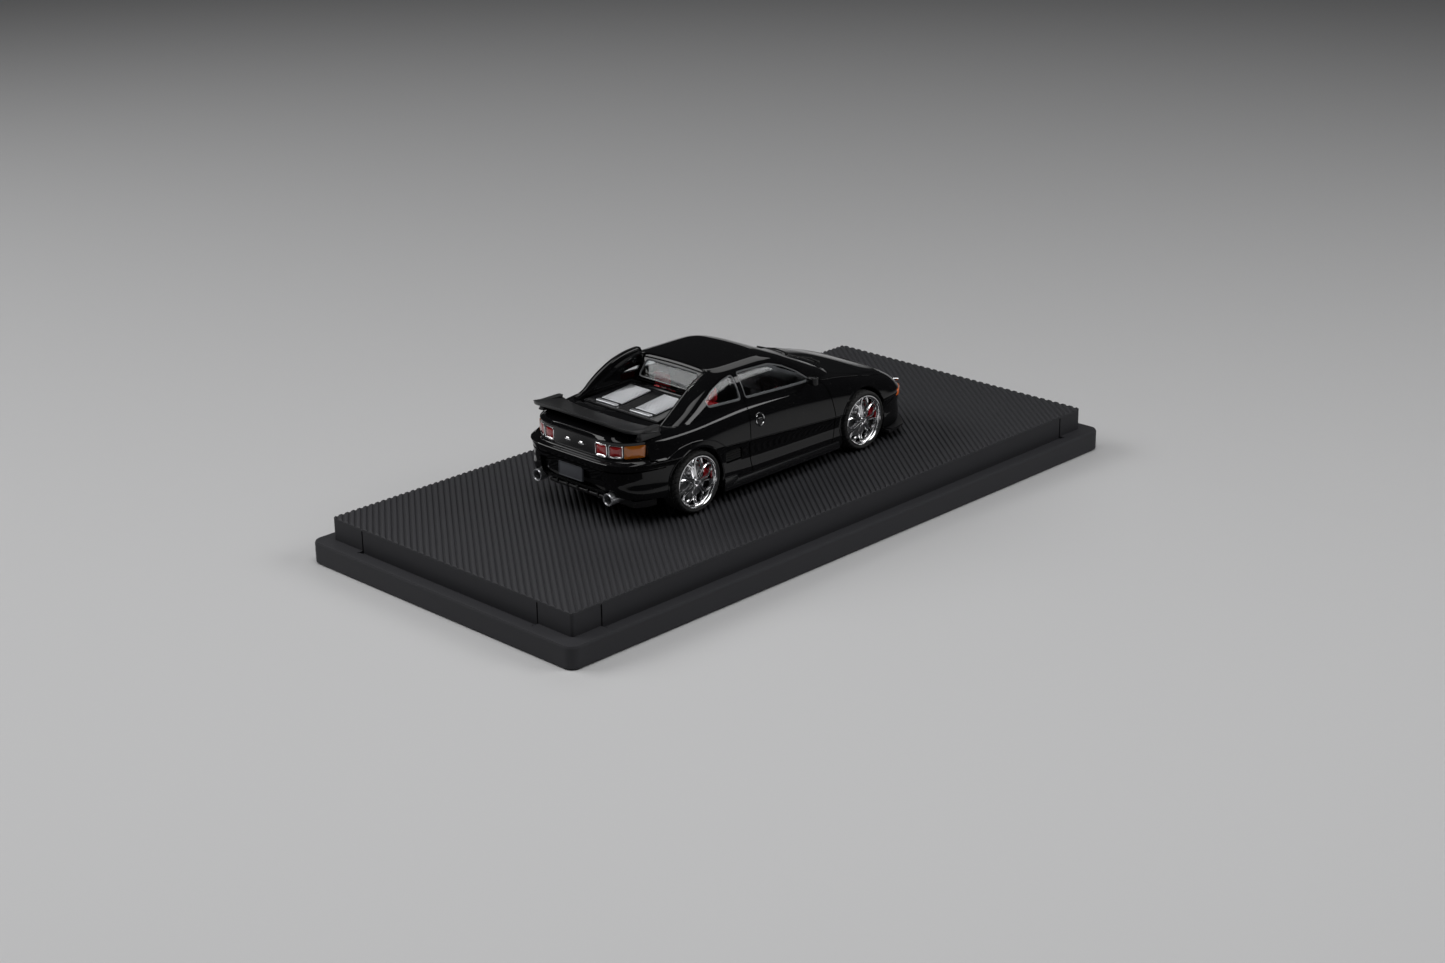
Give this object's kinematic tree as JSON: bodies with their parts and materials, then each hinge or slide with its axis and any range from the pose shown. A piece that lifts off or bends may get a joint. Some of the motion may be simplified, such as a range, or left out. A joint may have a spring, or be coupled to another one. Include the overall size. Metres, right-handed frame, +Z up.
{
  "type": "diecast collector car",
  "caption": "Small diecast sports coupe with turning wheels, screwed to a two-tier ribbed display base.",
  "frame": {"origin": "centre of the display base's underside", "axes": "+X to the car's front along the base's length, +Y to the car's left, +Z up"},
  "size_m": [0.12, 0.0576, 0.0266],
  "materials": {
    "base_plastic": "satin moulded black plastic",
    "rib_plastic": "satin black plastic with fine slanted ribs",
    "screw_steel": "zinc plated",
    "chassis_plastic": "matt black",
    "body_paint": "gloss black with clear coat",
    "cabin_plastic": "matt dark grey",
    "seat_red": "satin red",
    "glazing": "clear",
    "trim_black": "satin black",
    "mesh_silver": "fine ribbed silver",
    "lens_red": "clear red",
    "lens_amber": "clear amber",
    "lens_clear": "clear",
    "plate_grey": "matt dark grey",
    "chrome": "bright chrome",
    "pipe_steel": "dull",
    "caliper_red": "gloss red",
    "tyre_rubber": "matt"
  },
  "bodies": {
    "root": {"display_base": "base_plastic", "ribbed_deck": "rib_plastic", "base_screws": "screw_steel", "chassis_plate": "chassis_plastic", "chassis_screws": "screw_steel", "body_shell": "body_paint", "interior_tub": "cabin_plastic", "seat_left": "seat_red", "seat_right": "seat_red", "dashboard": "cabin_plastic", "steering_wheel": "cabin_plastic", "windscreen": "glazing", "door_glass_left": "glazing", "door_glass_right": "glazing", "quarter_glass_left": "glazing", "quarter_glass_right": "glazing", "rear_window": "glazing", "engine_cover": "trim_black", "vent_mesh": "mesh_silver", "vent_bars": "mesh_silver", "rear_wing": "trim_black", "tail_panel": "trim_black", "stop_lamps": "lens_red", "turn_lamps": "lens_amber", "number_plate": "plate_grey", "silencer": "pipe_steel", "exhaust_tips": "chrome", "rear_diffuser": "trim_black", "side_skirt_left": "trim_black", "side_skirt_right": "trim_black", "front_lip": "trim_black", "mirror_left": "body_paint", "mirror_right": "body_paint", "front_markers": "lens_amber", "front_lamps": "lens_clear", "side_grilles": "trim_black", "door_handles": "trim_black", "wipers": "trim_black", "brake_discs": "pipe_steel", "brake_calipers": "caliper_red"},
    "front_wheels": {"front_axle": "screw_steel", "rim_front_left": "chrome", "tyre_front_left": "tyre_rubber", "rim_front_right": "chrome", "tyre_front_right": "tyre_rubber"},
    "rear_wheels": {"rear_axle": "screw_steel", "rim_rear_left": "chrome", "tyre_rear_left": "tyre_rubber", "rim_rear_right": "chrome", "tyre_rear_right": "tyre_rubber"}
  },
  "joints": [
    {"name": "front_axle_spin", "type": "hinge", "parent": "root", "child": "front_wheels", "pos_m": [0.0178, 0, 0.01215], "axis": [0, 1, 0], "continuous": true},
    {"name": "rear_axle_spin", "type": "hinge", "parent": "root", "child": "rear_wheels", "pos_m": [-0.0197, 0, 0.01215], "axis": [0, 1, 0], "continuous": true}
  ]
}
